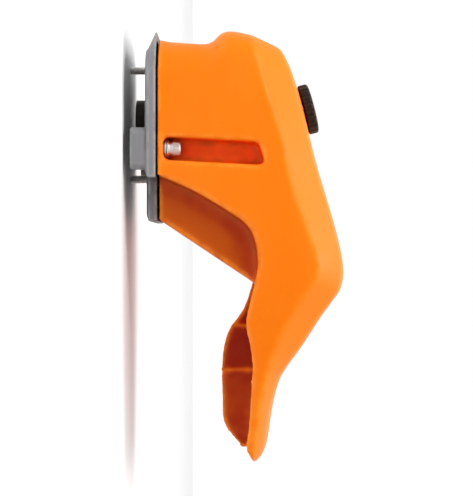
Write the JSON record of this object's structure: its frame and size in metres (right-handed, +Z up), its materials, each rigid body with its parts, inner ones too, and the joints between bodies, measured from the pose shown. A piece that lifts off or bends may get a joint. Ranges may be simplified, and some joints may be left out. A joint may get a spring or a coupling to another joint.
{
  "type": "air filter housing",
  "caption": "Small-engine air filter housing: moulded hood with a quarter-turn knob and side screws over a base tray with a pleated filter.",
  "frame": {"origin": "centre of the intake port on the base tray's lower face", "axes": "+X forward (towards the nose of the hood), +Y left, +Z up (the way the hood lifts off)"},
  "size_m": [0.2533, 0.1064, 0.1289],
  "materials": {
    "orange_plastic": "semi-gloss moulded orange",
    "gray_plastic": "satin moulded light gray",
    "black_plastic": "satin moulded black",
    "frame_plastic": "satin dark gray",
    "zinc_steel": "zinc plated",
    "spring_steel": "drawn wire and stamped strip",
    "brass": "turned brass",
    "rubber": "matt moulded rubber",
    "filter_paper": "pleated resin-bonded paper",
    "gasket_paper": "compressed fibre gasket"
  },
  "bodies": {
    "base": {"base_tray": "gray_plastic", "rim_seal": "rubber", "intake_gasket": "gasket_paper", "intake_horn": "black_plastic", "filter_seat_ring": "rubber", "filter_lower_frame": "frame_plastic", "filter_element": "filter_paper", "filter_inner_cage": "black_plastic", "filter_upper_frame": "frame_plastic", "filter_stud_rear": "zinc_steel", "filter_stud_front": "zinc_steel", "stud_nut_rear": "zinc_steel", "stud_nut_front": "zinc_steel", "filter_washer_rear": "zinc_steel", "filter_washer_front": "zinc_steel", "filter_nut_rear": "brass", "filter_nut_front": "brass", "latch_bridge": "zinc_steel", "threaded_insert_right": "brass", "threaded_insert_left": "brass"},
    "hood": {"cover_shell": "orange_plastic", "side_screw_bush_right": "zinc_steel", "side_screw_bush_left": "zinc_steel"},
    "lock": {"twist_knob": "black_plastic", "knob_shaft": "zinc_steel", "knob_seal": "rubber", "knob_spring": "spring_steel", "spring_cup": "zinc_steel", "retaining_clip": "spring_steel"},
    "screw_seat_right": {"side_screw_washer_right": "zinc_steel"},
    "screw_right": {"side_screw_right": "zinc_steel"},
    "screw_seat_left": {"side_screw_washer_left": "zinc_steel"},
    "screw_left": {"side_screw_left": "zinc_steel"}
  },
  "joints": [
    {"name": "cover_lift", "type": "slide", "parent": "base", "child": "hood", "axis": [0, 0, 1], "range_m": [0, 0.08]},
    {"name": "knob_turn", "type": "hinge", "parent": "hood", "child": "lock", "pos_m": [-0.0088, 0, 0.09265], "axis": [-0.2535, 0, 0.9673], "range_deg": [-90, 0]},
    {"name": "screw_rise_right", "type": "slide", "parent": "hood", "child": "screw_seat_right", "axis": [0, 0, 1], "range_m": [0, 0.0048]},
    {"name": "screw_turn_right", "type": "hinge", "parent": "screw_seat_right", "child": "screw_right", "pos_m": [0.0175, -0.04457, 0.0203], "axis": [0, 0, 1], "range_deg": [0, 2160]},
    {"name": "screw_rise_left", "type": "slide", "parent": "hood", "child": "screw_seat_left", "axis": [0, 0, 1], "range_m": [0, 0.0048]},
    {"name": "screw_turn_left", "type": "hinge", "parent": "screw_seat_left", "child": "screw_left", "pos_m": [0.0175, 0.04457, 0.0203], "axis": [0, 0, 1], "range_deg": [0, 2160]}
  ],
  "couplings": [
    {"joint": "screw_turn_right", "follows": "screw_rise_right", "rad_per_m": 7854},
    {"joint": "screw_turn_left", "follows": "screw_rise_left", "rad_per_m": 7854}
  ]
}
